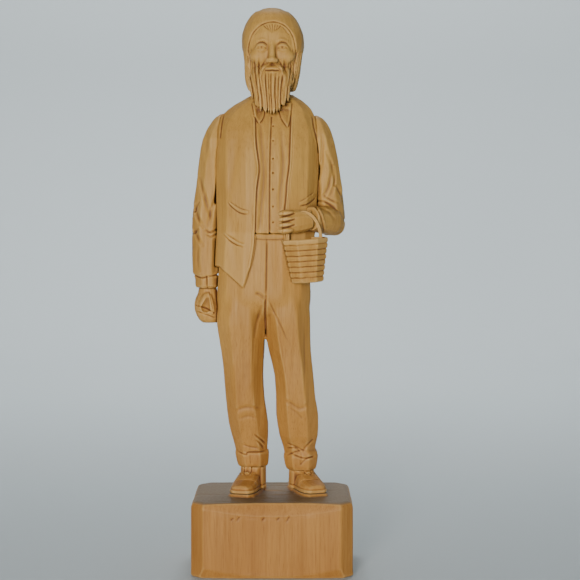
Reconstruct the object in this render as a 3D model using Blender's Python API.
"""A carved wooden figurine of a standing, bearded man with a basket, on a block plinth.

Sizes are in millimetres and mm() turns them into Blender's metres. +X is the viewer's right, the
figure faces -Y and +Z is up. The origin is the centre of the plinth's underside. Right and left in
the names are the figure's own, so its right arm is at -X.

The torso and the trousers are the main blocks. Head, arms, hands, shoes and basket are separate
carvings scribed to them and held by glued dowels in blind bores.
"""

import math
from collections import namedtuple

import bmesh
import bpy
from mathutils import Matrix, Vector

# ---------------------------------------------------------------- driving dimensions
GLUE_GAP = 0.3  # clearance left between neighbouring carvings
BORE_GAP = 0.3  # clearance round and past the end of each dowel
TOTAL_HEIGHT = 502.0

PLINTH_WIDTH = 143.0
PLINTH_DEPTH = 112.0
PLINTH_HEIGHT = 67.0
PLINTH_CORNER = 11.0  # flat cut down each upright corner
PLINTH_TOP_EDGE = 5.0
PLINTH_FOOT_EDGE = 2.0
SOLE_PAD = 3.0  # raised wood left under each shoe

WAIST_Z = 301.0
NECK_Z = 425.0
WRIST_Z = 252.0
WAISTCOAT_PROUD = 2.0  # the waistcoat stands this far off the shirt
WAISTCOAT_HEM = 272.0  # at the sides and back
CAP_PROUD = 1.2  # the cap and side hair stand this far off the skull
HEAD_SIDES = 20
LIMB_SIDES = 8  # legs and sleeves are cut in broader flats

WOOD_COLOUR = (0.47, 0.27, 0.11, 1.0)
DOWEL_COLOUR = (0.55, 0.36, 0.17, 1.0)
WOOD_ROUGHNESS = 0.6

# One cross-section of a carving at height z: knife flats round a superellipse of half width `wide`,
# reaching `front` towards -Y and `back` towards +Y from its centre (x, y). square 2 is an ellipse
# and 4 nearly a box.
Ring = namedtuple("Ring", "z x y wide front back square")

# ---------------------------------------------------------------- cross-sections
WAISTCOAT = (
    Ring(240, -7.5, 0, 43.8, 28.8, 29.0, 2.9),
    Ring(275, -7.0, 0, 43.8, 28.4, 27.5, 2.9),
    Ring(300, -5.8, 0, 43.8, 28.6, 24.5, 2.8),
    Ring(325, -5.0, 0, 44.6, 29.6, 24.0, 2.7),
    Ring(350, -4.6, 0, 45.4, 30.0, 26.0, 2.8),
    Ring(375, -4.5, 0, 46.0, 28.4, 28.0, 2.8),
    Ring(392, -4.5, 0, 45.6, 24.6, 27.5, 2.7),
    Ring(404, -4.0, 1, 42.0, 20.5, 24.0, 2.5),
    Ring(412, -2.2, 2, 37.2, 18.0, 20.0, 2.3),
    Ring(419, -0.6, 3, 28.4, 16.5, 17.0, 2.1),
    Ring(NECK_Z, 0.0, 3, 18.5, 15.0, 15.0, 2.0),
)
HIPS = (
    Ring(222, -7.8, 0, 30.0, 10.0, 12.0, 2.3),
    Ring(230, -7.8, 0, 39.0, 20.0, 22.0, 2.5),
    Ring(240, -7.8, 0, 42.0, 25.6, 26.8, 2.8),
    Ring(256, -7.6, 0, 41.8, 26.2, 26.8, 2.9),
    Ring(278, -7.0, 0, 41.0, 25.6, 24.6, 2.9),
    Ring(WAIST_Z, -5.9, 0, 40.8, 25.8, 21.6, 2.8),
)
RIGHT_LEG = (
    Ring(90, -18.0, 8, 12.6, 13.0, 13.5, 2.2),
    Ring(109, -19.5, 7, 15.2, 15.5, 16.0, 2.25),
    Ring(130, -21.8, 4, 18.0, 18.0, 18.5, 2.25),
    Ring(152, -24.6, 1, 17.6, 19.5, 18.5, 2.25),
    Ring(174, -26.0, 0, 17.8, 20.5, 20.5, 2.25),
    Ring(196, -26.8, 0, 19.4, 22.0, 23.5, 2.25),
    Ring(220, -28.4, 0, 21.6, 24.6, 25.8, 2.25),
    Ring(234, -27.8, 0, 21.2, 24.4, 25.6, 2.25),
    Ring(250, -26.0, 0, 19.0, 22.5, 23.5, 2.25),
)
LEFT_LEG = (
    Ring(86.5, 25.8, 9, 12.4, 13.0, 13.5, 2.2),
    Ring(109, 24.3, 8, 15.0, 15.5, 16.0, 2.25),
    Ring(118, 23.6, 6, 17.4, 17.0, 17.5, 2.25),
    Ring(138, 22.2, 3, 19.2, 19.0, 19.5, 2.25),
    Ring(152, 20.9, 1, 18.2, 19.5, 19.0, 2.25),
    Ring(174, 19.3, 0, 17.8, 20.5, 20.5, 2.25),
    Ring(196, 15.6, 0, 19.0, 22.0, 23.5, 2.25),
    Ring(220, 13.0, 0, 21.0, 24.6, 25.8, 2.25),
    Ring(234, 12.6, 0, 20.8, 24.4, 25.6, 2.25),
    Ring(250, 11.0, 0, 19.0, 22.5, 23.5, 2.25),
)
RIGHT_CUFF = (
    Ring(90, -17.6, 8, 12.8, 13.6, 14.0, 2.4),
    Ring(93, -17.8, 8, 14.2, 15.2, 15.6, 2.5),
    Ring(102, -18.6, 8, 15.6, 16.4, 16.6, 2.5),
    Ring(105.5, -18.9, 8, 14.6, 15.4, 15.6, 2.4),
)
LEFT_CUFF = (
    Ring(86.5, 26.2, 9, 12.8, 13.6, 14.0, 2.4),
    Ring(90, 25.8, 9, 14.4, 15.4, 15.8, 2.5),
    Ring(99, 25.6, 9, 15.8, 16.6, 16.8, 2.5),
    Ring(104, 25.6, 9, 14.8, 15.4, 15.6, 2.4),
)
RIGHT_SLEEVE = (
    Ring(WRIST_Z, -58.5, 1, 9.6, 11.5, 11.5, 2.15),
    Ring(254, -58.5, 1, 11.0, 13.0, 13.0, 2.1),
    Ring(261, -58.5, 1, 11.2, 13.2, 13.2, 2.1),
    Ring(265, -59.5, 1, 12.2, 14.0, 14.0, 2.15),
    Ring(285, -59.6, 2, 12.8, 14.5, 15.0, 2.15),
    Ring(308, -58.8, 4, 13.8, 15.5, 16.0, 2.15),
    Ring(322, -57.8, 4, 14.0, 15.5, 16.0, 2.15),
    Ring(345, -55.0, 3, 13.4, 15.5, 16.0, 2.15),
    Ring(368, -52.4, 2, 13.2, 16.0, 17.0, 2.15),
    Ring(385, -49.6, 1, 13.0, 16.0, 18.0, 2.15),
    Ring(397, -46.0, 2, 11.0, 13.5, 16.5, 2.1),
    Ring(405, -43.0, 2, 8.2, 9.5, 12.0, 2.2),
    Ring(409, -41.0, 2, 3.0, 3.5, 4.5, 2.0),
)
LEFT_UPPER_SLEEVE = (
    Ring(299, 53.5, 5, 6.0, 6.0, 8.0, 2.2),
    Ring(303, 53.2, 5, 11.0, 12.0, 12.5, 2.15),
    Ring(311, 52.8, 5, 13.0, 14.5, 14.5, 2.15),
    Ring(322, 51.6, 5, 13.6, 15.0, 15.0, 2.15),
    Ring(345, 49.0, 4, 13.2, 15.0, 15.5, 2.15),
    Ring(368, 45.8, 2, 12.8, 15.5, 16.5, 2.15),
    Ring(385, 42.6, 1, 12.2, 15.5, 17.5, 2.15),
    Ring(397, 39.6, 2, 11.0, 13.0, 16.0, 2.1),
    Ring(404, 36.5, 2, 8.4, 9.5, 12.0, 2.2),
    Ring(408, 34.5, 2, 3.0, 3.5, 4.5, 2.0),
)
SKULL = (
    Ring(NECK_Z, 0.0, 5, 17.0, 14.0, 14.0, 2.0),
    Ring(430, -0.3, 5, 21.6, 18.0, 19.0, 2.2),
    Ring(440, -0.4, 4, 24.0, 21.0, 22.0, 2.2),
    Ring(454, 0.5, 3, 25.4, 23.5, 25.0, 2.2),
    Ring(468, 0.6, 3, 26.8, 25.0, 26.8, 2.2),
    Ring(478, 0.4, 3, 26.2, 24.5, 26.3, 2.2),
    Ring(488, 0.0, 4, 22.8, 22.0, 23.8, 2.2),
    Ring(495, -0.2, 4, 18.2, 18.0, 19.4, 2.1),
    Ring(499, -0.4, 4, 13.4, 13.5, 14.5, 2.0),
    Ring(TOTAL_HEIGHT - CAP_PROUD, -0.4, 4, 7.0, 7.0, 7.5, 2.0),
)
BEARD = (
    Ring(405, -0.5, -26, 4.0, 3.0, 4.0, 2.2),
    Ring(408, -1.4, -25, 9.0, 4.5, 6.0, 2.3),
    Ring(413, -1.2, -23, 14.0, 7.0, 8.0, 2.4),
    Ring(421, -0.8, -20, 18.0, 10.0, 10.0, 2.5),
    Ring(432, -0.6, -16, 21.0, 12.6, 12.0, 2.5),
    Ring(442, -0.2, -12, 21.5, 13.6, 10.0, 2.4),
    Ring(449, 0.0, -9, 18.0, 13.0, 6.0, 2.2),
)
NOSE = (
    Ring(451, 0.0, -19, 3.4, 4.0, 6.0, 2.2),
    Ring(454, 0.0, -19, 4.2, 7.2, 6.0, 2.2),
    Ring(460, 0.0, -19, 3.0, 5.6, 6.0, 2.2),
    Ring(466, 0.0, -19, 2.2, 3.4, 6.0, 2.2),
)

# ---------------------------------------------------------------- carved outlines, (x, z)
WAISTCOAT_OPENING = (
    (-14.9, 412),
    (-13.5, 385),
    (-12.3, 361),
    (-13.2, 330),
    (-14.2, 300),
    (-15.9, 287),
    (-18.6, 273.5),
    (-25.7, 253.3),
    (-47.0, WAISTCOAT_HEM),
    (-60.0, WAISTCOAT_HEM),
    (-60.0, 230),
    (60.0, 230),
    (60.0, WAISTCOAT_HEM),
    (38.0, WAISTCOAT_HEM),
    (25.0, 262),
    (15.0, 274),
    (10.5, 290),
    (10.0, 305),
    (12.2, 326),
    (14.9, 366),
    (16.6, 412),
)
FACE_OPENING = (  # the hood-like cap and side hair frame the face between these points
    (-19.0, 420),
    (-21.5, 450),
    (-20.5, 468),
    (-16.0, 479),
    (-8.0, 486),
    (1.5, 487.5),
    (11.0, 484),
    (17.5, 475),
    (20.0, 462),
    (20.5, 448),
    (18.0, 420),
)

# ---------------------------------------------------------------- hands, basket and feet
FOREARM = (  # along the line from elbow to wrist; wide is level, front is down, back is up
    Ring(-8, 0, 0, 6.0, 6.0, 6.0, 2.2),
    Ring(-4, 0, 0, 11.0, 11.0, 11.0, 2.4),
    Ring(6, 0, 0, 12.6, 12.6, 12.6, 2.5),
    Ring(20, 0, 0, 11.6, 12.0, 12.0, 2.5),
    Ring(29, 0, 0, 10.0, 11.0, 10.5, 2.4),
    Ring(36, 0, 0, 9.6, 11.0, 10.5, 2.4),
)
FOREARM_LINE = ((54.0, 2.0, 312.0), (34.0, -27.0, 314.5))
LEFT_PALM = (
    Ring(0, 0, 0, 6.5, 8.0, 8.0, 2.3),
    Ring(7, 0, 0, 7.4, 9.6, 9.4, 2.4),
    Ring(16, 0, 0, 7.4, 10.2, 9.8, 2.4),
    Ring(22, 0, 0, 6.2, 9.6, 9.4, 2.3),
    Ring(25, 0, 0, 4.0, 8.0, 8.0, 2.2),
)
LEFT_PALM_LINE = ((34.0, -31.0, 313.5), (5.5, -41.5, 310.5))
FINGER_COUNT = 4
FINGER_PITCH = 5.0
FINGER_SIZE = (3.1, 5.0)  # half height, half depth
LOWEST_FINGER = ((19.0, -42.0, 304.5), (5.0, -41.5, 303.5))  # knuckle, tip
RIGHT_HAND = (
    Ring(221, -56.5, -1, 6.0, 6.0, 6.5, 2.4),
    Ring(224, -57.5, -1, 8.6, 8.5, 9.0, 2.5),
    Ring(232, -59.0, -1, 10.6, 10.0, 10.5, 2.5),
    Ring(240, -59.3, 0, 10.6, 9.5, 10.0, 2.4),
    Ring(247, -58.5, 1, 8.6, 8.0, 8.5, 2.3),
    Ring(WRIST_Z - GLUE_GAP, -58.5, 1, 7.6, 8.0, 8.5, 2.2),
)
THUMB = ((-57.5, -8.0, 248.0), (-53.0, -10.5, 229.0), (2.6, 3.6))
FOREFINGER = ((-58.5, -7.0, 248.0), (-65.0, -9.0, 233.0), (3.0, 3.6))

BASKET_TOP = (28.3, -33.0, 297.0)
BASKET_HEIGHT = 38.6
BASKET_LEAN = -3.6  # degrees about Y, its foot swung to the figure's left
BASKET_PITCH = 2.3  # degrees about X, its foot against the thigh
BASKET_RIM_RADIUS = 20.2
BASKET_FOOT_RADIUS = 13.8
BASKET_FLATTEN = 0.83  # depth over width
BASKET_BANDS = 8
BASKET_SIDES = 8
BASKET_SQUARE = 2.3
BASKET_TURN = 9.0  # degrees about its own axis, its flat front towards the figure's left
BAND_GROOVE = 0.7
BASKET_WALL = 2.2
BASKET_RECESS = 3.5
HANDLE_SPAN = 14.5  # half the width of the arch, at the middle of the strap
HANDLE_RISE = 23.5
HANDLE_THICK = 3.0
HANDLE_DEPTH = 5.0
HANDLE_PITCH = 5.0  # degrees forward of the basket's own axis
HANDLE_STEPS = 14

FOOT_LENGTH = 55.0
FOOT_SECTIONS = (  # share of the length from the heel, half width, height over the sole
    (0.00, 6.0, 10.0),
    (0.05, 8.6, 14.0),
    (0.25, 10.4, 18.0),
    (0.45, 10.8, 17.5),
    (0.60, 11.4, 13.5),
    (0.75, 11.8, 10.0),
    (0.90, 10.6, 7.6),
    (0.98, 8.0, 6.2),
    (1.00, 6.5, 4.0),
)
SOLE_DROP = 4.0  # spare wood under the sole, sawn off level
PAD_SPARE = 1.2  # how far the pad stands out round the shoe
ANKLE_RADIUS = 11.5
RIGHT_FOOT = (-15.0, 26.0, -14.5, 90.0)  # heel's x and y, turn in degrees, height of the ankle
LEFT_FOOT = (21.5, 27.0, 20.0, 86.5)
RIGHT_ANKLE = (-17.6, 8.5)
LEFT_ANKLE = (26.2, 9.5)

# name: (centre, direction, radius, length, the carvings that it is bored into)
DOWELS = {
    "foot_dowel_right": ((-17.5, 8.0, 84), (0, 0, 1), 4, 76, ("plinth", "shoe_right", "trousers")),
    "foot_dowel_left": ((25.6, 8.5, 84), (0, 0, 1), 4, 76, ("plinth", "shoe_left", "trousers")),
    "waist_dowel_right": ((-24, 0, WAIST_Z), (0, 0, 1), 4, 50, ("trousers", "torso")),
    "waist_dowel_left": ((12, 0, WAIST_Z), (0, 0, 1), 4, 50, ("trousers", "torso")),
    "neck_dowel": ((0, 4, NECK_Z), (0, 0, 1), 5, 46, ("torso", "head")),
    "shoulder_dowel_right": ((-47, 2, 383), (1, 0, 0), 4, 24, ("torso", "right_arm")),
    "shoulder_dowel_left": ((38.5, 2, 383), (1, 0, 0), 4, 22, ("torso", "left_arm")),
    "wrist_dowel_right": ((-58.5, 1, WRIST_Z), (0, 0, 1), 2.5, 20, ("right_arm", "right_hand")),
    "wrist_dowel_left": ((33.5, -28.5, 314), (0.8, 0.6, 0), 2, 16, ("left_arm", "left_hand")),
    "basket_dowel": ((27, -23, 279), (0, 1, 0), 2.5, 18, ("basket", "torso", "trousers")),
}


# ---------------------------------------------------------------- helpers
def mm(*values):
    """Millimetres to metres: one number, or a vector from three."""
    scaled = [value * 0.001 for value in values]
    return scaled[0] if len(scaled) == 1 else Vector(scaled)


def start_clean():
    """Empties the scene and returns the collections for the figure and for its cutters."""
    for obj in list(bpy.data.objects):
        bpy.data.objects.remove(obj, do_unlink=True)
    made = []
    for name in ("carved_figurine", "cutters"):
        collection = bpy.data.collections.new(name)
        bpy.context.scene.collection.children.link(collection)
        made.append(collection)
    return made


FIGURINE, CUTTERS = start_clean()


def wood(name, colour):
    """A plain oiled-wood material."""
    material = bpy.data.materials.new(name)
    material.use_nodes = True
    shader = material.node_tree.nodes["Principled BSDF"]
    shader.inputs["Base Color"].default_value = colour
    shader.inputs["Roughness"].default_value = WOOD_ROUGHNESS
    shader.inputs["Metallic"].default_value = 0.0
    return material


CARVED_WOOD = wood("carved_basswood", WOOD_COLOUR)
DOWEL_WOOD = wood("turned_birch", DOWEL_COLOUR)


def mesh_from(shape, name):
    """Turns a finished bmesh into a mesh."""
    mesh = bpy.data.meshes.new(name)
    shape.to_mesh(mesh)
    shape.free()
    return mesh


def place(name, mesh, helper=False, material=CARVED_WOOD):
    """Links a mesh as a part, or as a hidden helper for the Booleans."""
    obj = bpy.data.objects.new(name, mesh)
    (CUTTERS if helper else FIGURINE).objects.link(obj)
    if helper:
        obj.hide_render = True
        obj.display_type = "WIRE"
    else:
        mesh.materials.append(material)
        mesh.shade_smooth()
        mesh.set_sharp_from_angle(angle=math.radians(35))
    return obj


def between(values, share):
    """Catmull-Rom value a share of the way from the second of four values to the third."""
    a, b, c, d = values
    return 0.5 * (
        2 * b
        + (c - a) * share
        + (2 * a - 5 * b + 4 * c - d) * share**2
        + (3 * b - a - 3 * c + d) * share**3
    )


def refined(rings, steps):
    """The rings with `steps` smooth intervals between each pair."""
    padded = (rings[0],) + tuple(rings) + (rings[-1],)
    found = []
    for index in range(len(rings) - 1):
        four = padded[index : index + 4]
        for step in range(steps):
            found.append(Ring(*(between(column, step / steps) for column in zip(*four))))
    return found + [rings[-1]]


def ring_point(ring, side, sides, grow):
    """A corner of a ring, with a flat facing each way, and with the ring grown outwards."""
    angle = 2 * math.pi * (side + 0.5) / sides
    flat = math.cos(math.pi / sides)
    across, along = math.cos(angle) / flat, math.sin(angle) / flat
    power = 2 / ring.square
    depth = ring.front if along < 0 else ring.back
    return mm(
        ring.x + (ring.wide + grow) * math.copysign(abs(across) ** power, across),
        ring.y + (depth + grow) * math.copysign(abs(along) ** power, along),
        ring.z,
    )


def loft(name, rings, sides=12, steps=2, grow=0.0, helper=False):
    """A closed solid skinned over rings. grow makes it larger all round, for use as a cutter."""
    rings = refined(rings, steps)
    if grow:
        rings[0] = rings[0]._replace(z=rings[0].z - grow)
        rings[-1] = rings[-1]._replace(z=rings[-1].z + grow)
    shape = bmesh.new()
    loops = []
    for ring in rings:
        corners = [ring_point(ring, side, sides, grow) for side in range(sides)]
        loops.append([shape.verts.new(corner) for corner in corners])
    for low, high in zip(loops, loops[1:]):
        for side in range(sides):
            after = (side + 1) % sides
            shape.faces.new((low[side], low[after], high[after], high[side]))
    shape.faces.new(list(reversed(loops[0])))
    shape.faces.new(loops[-1])
    bmesh.ops.recalc_face_normals(shape, faces=shape.faces)
    return place(name, mesh_from(shape, name), helper)


def lay_along(obj, start, end):
    """Turns an object lofted along +Z so that it starts at one point and runs towards another."""
    direction = (mm(*end) - mm(*start)).normalized()
    turn = direction.to_track_quat("Z", "Y").to_matrix().to_4x4()
    obj.matrix_world = Matrix.Translation(mm(*start)) @ turn
    return obj


def digit(name, knuckle, tip, size):
    """A finger or thumb: an egg reaching from knuckle to tip, with its half height and depth."""
    shape = bmesh.new()
    bmesh.ops.create_uvsphere(shape, u_segments=10, v_segments=7, radius=1.0)
    reach = (mm(*tip) - mm(*knuckle)).length / 2
    high, deep = size
    bmesh.ops.translate(shape, vec=(0, 0, 1), verts=shape.verts)
    bmesh.ops.scale(shape, vec=(mm(deep), mm(high), reach), verts=shape.verts)
    return lay_along(place(name, mesh_from(shape, name), helper=True), knuckle, tip)


def boolean(target, other, operation):
    """Adds an exact Boolean of a helper to a part."""
    modifier = target.modifiers.new(f"{operation.lower()}_{other.name}", "BOOLEAN")
    modifier.operation = operation
    modifier.object = other
    modifier.solver = "EXACT"
    return target


def fuse(target, *others):
    for other in others:
        boolean(target, other, "UNION")


def scribe(target, *neighbours):
    """Cuts a part back to clear its neighbours' surfaces."""
    for neighbour in neighbours:
        boolean(target, neighbour, "DIFFERENCE")


def prism(name, outline, y_low, y_high, helper=True):
    """An outline in the XZ plane, reaching from y_low to y_high."""
    shape = bmesh.new()
    near = [shape.verts.new(mm(x, y_low, z)) for x, z in outline]
    face = shape.faces.new(near)
    grown = bmesh.ops.extrude_face_region(shape, geom=[face])
    moved = [item for item in grown["geom"] if isinstance(item, bmesh.types.BMVert)]
    bmesh.ops.translate(shape, verts=moved, vec=mm(0, y_high - y_low, 0))
    bmesh.ops.recalc_face_normals(shape, faces=shape.faces)
    return place(name, mesh_from(shape, name), helper)


def rod(name, centre, direction, radius, length, helper=False):
    """A round rod about a centre."""
    shape = bmesh.new()
    bmesh.ops.create_cone(
        shape, cap_ends=True, segments=14, radius1=mm(radius), radius2=mm(radius), depth=mm(length)
    )
    obj = place(name, mesh_from(shape, name), helper, DOWEL_WOOD)
    obj.rotation_euler = Vector(direction).to_track_quat("Z", "Y").to_euler()
    obj.location = mm(*centre)
    return obj


# ---------------------------------------------------------------- plinth and shoes
def foot_matrix(foot, z):
    """Lays a shape lofted from heel to toe on the level z, heel first, its local +Y upwards."""
    heel_x, heel_y, turn, _ = foot
    stand = Matrix.Rotation(math.radians(90), 4, "X")
    aim = Matrix.Rotation(math.radians(turn), 4, "Z")
    return Matrix.Translation(mm(heel_x, heel_y, z)) @ aim @ stand


def foot_loft(name, foot, z, spare=0.0, height=None, helper=True):
    """The shoe's body or, at a fixed height, the pad of wood that it stands on."""
    rings = []
    for share, wide, high in FOOT_SECTIONS:
        top = high if height is None else height
        along = share * (FOOT_LENGTH + 2 * spare) - spare
        rings.append(Ring(along, 0, 0, wide + spare, SOLE_DROP, top, 3.0))
    obj = loft(name, rings, sides=14, steps=1, helper=helper)
    obj.matrix_world = foot_matrix(foot, z)
    return obj


def make_plinth():
    """A sawn block: upright corners cut off, top edges eased, and a pad left under each shoe."""
    shape = bmesh.new()
    bmesh.ops.create_cube(shape, size=1.0)
    bmesh.ops.scale(shape, vec=mm(PLINTH_WIDTH, PLINTH_DEPTH, PLINTH_HEIGHT), verts=shape.verts)
    bmesh.ops.translate(shape, vec=mm(0, 0, PLINTH_HEIGHT / 2), verts=shape.verts)
    upright = [e for e in shape.edges if abs(e.verts[0].co.z - e.verts[1].co.z) > mm(1)]
    bmesh.ops.bevel(shape, geom=upright, offset=mm(PLINTH_CORNER), segments=1, affect="EDGES")
    for height, width in ((PLINTH_HEIGHT, PLINTH_TOP_EDGE), (0, PLINTH_FOOT_EDGE)):
        level = mm(height)
        rim = [e for e in shape.edges if all(abs(v.co.z - level) < mm(0.01) for v in e.verts)]
        bmesh.ops.bevel(
            shape, geom=rim, offset=mm(width), segments=2, profile=0.5, affect="EDGES"
        )
    plinth = place("plinth", mesh_from(shape, "plinth"))
    pads = []
    for side, foot in (("right", RIGHT_FOOT), ("left", LEFT_FOOT)):
        pad = foot_loft(f"pad_{side}", foot, PLINTH_HEIGHT, PAD_SPARE, SOLE_PAD * 2)
        scribe(pad, level_box(f"above_pad_{side}", PLINTH_HEIGHT + SOLE_PAD, TOTAL_HEIGHT))
        pads.append(pad)
    fuse(plinth, *pads)
    return plinth


def make_shoe(side, foot, ankle):
    """A shoe with its ankle, sawn level under the sole and under the trouser cuff."""
    sole = PLINTH_HEIGHT + SOLE_PAD + GLUE_GAP
    top = foot[-1] - GLUE_GAP
    shoe = foot_loft(f"shoe_{side}", foot, sole, helper=False)
    x, y = ankle
    column = [Ring(z, x, y, ANKLE_RADIUS, ANKLE_RADIUS, ANKLE_RADIUS, 2.3) for z in (sole, top)]
    fuse(shoe, loft(f"ankle_{side}", column, helper=True))
    scribe(shoe, level_box(f"under_sole_{side}", 0, sole))
    scribe(shoe, level_box(f"over_ankle_{side}", top, TOTAL_HEIGHT))
    return shoe


# ---------------------------------------------------------------- the figure
def level_box(name, low, high, front=-PLINTH_DEPTH, back=PLINTH_DEPTH):
    """A helper block as wide as the plinth's double, between two heights."""
    reach = PLINTH_WIDTH
    return prism(name, ((-reach, low), (reach, low), (reach, high), (-reach, high)), front, back)


def make_trousers():
    trousers = loft("trousers", HIPS)
    limbs = {
        "right_leg": RIGHT_LEG,
        "left_leg": LEFT_LEG,
        "right_cuff": RIGHT_CUFF,
        "left_cuff": LEFT_CUFF,
    }
    for name, rings in limbs.items():
        fuse(trousers, loft(name, rings, sides=LIMB_SIDES, helper=True))
    return trousers


def make_torso():
    """Waistcoat, open down the front over the shirt, its skirt lapping over the hips."""
    torso = loft("torso", WAISTCOAT)
    scribe(
        torso,
        prism("waistcoat_opening", WAISTCOAT_OPENING, -PLINTH_DEPTH, -2.0),
        level_box("below_hem", 0, WAISTCOAT_HEM, front=-5.0),
    )
    waist = WAISTCOAT[2]._replace(z=WAIST_Z - WAISTCOAT_PROUD)
    body = [waist] + [ring for ring in WAISTCOAT if ring.z > WAIST_Z]
    fuse(torso, loft("shirt", body, grow=-WAISTCOAT_PROUD, helper=True))
    scribe(torso, loft("hips_room", HIPS, grow=GLUE_GAP, helper=True))
    return torso


def body_rooms():
    """The space that torso, hips and leg take, grown by the glue gap, for scribing to them."""
    upper = loft("waistcoat_above_hem", WAISTCOAT, grow=GLUE_GAP, helper=True)
    scribe(upper, level_box("below_hem_room", 0, WAISTCOAT_HEM - GLUE_GAP))
    hips = loft("hips_and_gap", HIPS, grow=GLUE_GAP, helper=True)
    leg = loft("leg_and_gap", RIGHT_LEG, sides=LIMB_SIDES, grow=GLUE_GAP, helper=True)
    return upper, hips, leg


def make_head(torso_room):
    """Skull with a plain face, a beard hanging to the chest, and the cap and side hair round it."""
    head = loft("head", SKULL, sides=HEAD_SIDES)
    hood = loft("hood", SKULL, sides=HEAD_SIDES, grow=CAP_PROUD, helper=True)
    scribe(hood, prism("face_opening", FACE_OPENING, -PLINTH_DEPTH, -4.0))
    fuse(head, hood, loft("beard", BEARD, helper=True), loft("nose", NOSE, helper=True))
    scribe(head, torso_room)
    return head


def make_arms(rooms, handle_room):
    right = loft("right_arm", RIGHT_SLEEVE, sides=LIMB_SIDES)
    scribe(right, *rooms)
    left = loft("left_arm", LEFT_UPPER_SLEEVE, sides=LIMB_SIDES)
    forearm = lay_along(loft("forearm", FOREARM, helper=True), *FOREARM_LINE)
    fuse(left, forearm)
    scribe(left, *rooms)
    scribe(left, handle_room)
    return right, left


def make_hands(rooms, handle_room):
    right = loft("right_hand", RIGHT_HAND)
    fuse(right, digit("thumb", *THUMB), digit("forefinger", *FOREFINGER))
    scribe(right, *rooms)
    scribe(right, level_box("over_wrist", WRIST_Z - GLUE_GAP, TOTAL_HEIGHT))

    left = lay_along(loft("left_hand", LEFT_PALM), *LEFT_PALM_LINE)
    knuckle, tip = LOWEST_FINGER
    for number in range(FINGER_COUNT):
        rise = number * FINGER_PITCH
        points = [(x, y, z + rise) for x, y, z in (knuckle, tip)]
        fuse(left, digit(f"finger_{number}", *points, FINGER_SIZE))
    sleeve = loft("forearm_room", FOREARM, grow=GLUE_GAP, helper=True)
    scribe(left, lay_along(sleeve, *FOREARM_LINE), handle_room, *rooms)
    return right, left


# ---------------------------------------------------------------- basket
def basket_matrix():
    """From the middle of the basket's mouth, its own +Z up through the mouth."""
    pitch = Matrix.Rotation(math.radians(BASKET_PITCH), 4, "X")
    lean = Matrix.Rotation(math.radians(BASKET_LEAN), 4, "Y")
    return Matrix.Translation(mm(*BASKET_TOP)) @ pitch @ lean


def basket_ring(z, radius):
    depth = radius * BASKET_FLATTEN
    return Ring(z, 0, 0, radius, depth, depth, BASKET_SQUARE)


def make_basket(waistcoat_room):
    """Flat-sided, with a groove between its bands, a sunk mouth, and its back scribed to the body."""
    rings = []
    for band in range(BASKET_BANDS):
        for share, inset in ((0.0, BAND_GROOVE), (0.2, 0.0), (0.8, 0.0)):
            down = (band + share) / BASKET_BANDS
            radius = BASKET_RIM_RADIUS + (BASKET_FOOT_RADIUS - BASKET_RIM_RADIUS) * down
            rings.append(basket_ring(-BASKET_HEIGHT * down, radius - inset))
    rings.append(basket_ring(-BASKET_HEIGHT, BASKET_FOOT_RADIUS - BAND_GROOVE))
    inner = BASKET_RIM_RADIUS - BASKET_WALL
    recess = [basket_ring(z, inner) for z in (-BASKET_RECESS, BASKET_RECESS)]

    turned = basket_matrix() @ Matrix.Rotation(math.radians(BASKET_TURN), 4, "Z")
    basket = loft("basket", rings, sides=BASKET_SIDES, steps=1)
    mouth = loft("basket_mouth", recess, sides=BASKET_SIDES, steps=1, helper=True)
    for obj in (basket, mouth):
        obj.matrix_world = turned
    scribe(basket, mouth, waistcoat_room)
    return basket


def handle_strap(name, grow=0.0, helper=False):
    """Half an ellipse of flat strap, both ends let into the basket's mouth."""
    outline = []
    for side, steps in ((1, range(HANDLE_STEPS + 1)), (-1, range(HANDLE_STEPS, -1, -1))):
        offset = side * (HANDLE_THICK / 2 + grow)
        end = -BASKET_RECESS + GLUE_GAP - grow
        arch = []
        for step in steps:
            angle = math.pi * step / HANDLE_STEPS
            across = (HANDLE_SPAN + offset) * math.cos(angle)
            arch.append((across, (HANDLE_RISE + offset) * math.sin(angle)))
        outline += [(arch[0][0], end), *arch, (arch[-1][0], end)]
    half = HANDLE_DEPTH / 2 + grow
    strap = prism(name, outline, -half, half, helper)
    strap.matrix_world = basket_matrix() @ Matrix.Rotation(math.radians(HANDLE_PITCH), 4, "X")
    return strap


def make_dowels(carvings):
    """Each dowel, and a bore for it in every carving that it holds."""
    for name, (centre, direction, radius, length, hosts) in DOWELS.items():
        rod(name, centre, direction, radius, length)
        size = (radius + BORE_GAP, length + 2 * BORE_GAP)
        bore = rod(f"{name}_bore", centre, direction, *size, helper=True)
        for host in hosts:
            scribe(carvings[host], bore)


def build():
    waistcoat_room = loft("waistcoat_room", WAISTCOAT, grow=GLUE_GAP, helper=True)
    rooms = body_rooms()
    handle_room = handle_strap("handle_room", grow=GLUE_GAP, helper=True)
    carvings = {
        "plinth": make_plinth(),
        "shoe_right": make_shoe("right", RIGHT_FOOT, RIGHT_ANKLE),
        "shoe_left": make_shoe("left", LEFT_FOOT, LEFT_ANKLE),
        "trousers": make_trousers(),
        "torso": make_torso(),
        "head": make_head(waistcoat_room),
        "basket": make_basket(waistcoat_room),
        "basket_handle": handle_strap("basket_handle"),
    }
    carvings["right_arm"], carvings["left_arm"] = make_arms(rooms, handle_room)
    carvings["right_hand"], carvings["left_hand"] = make_hands(rooms, handle_room)
    make_dowels(carvings)


build()
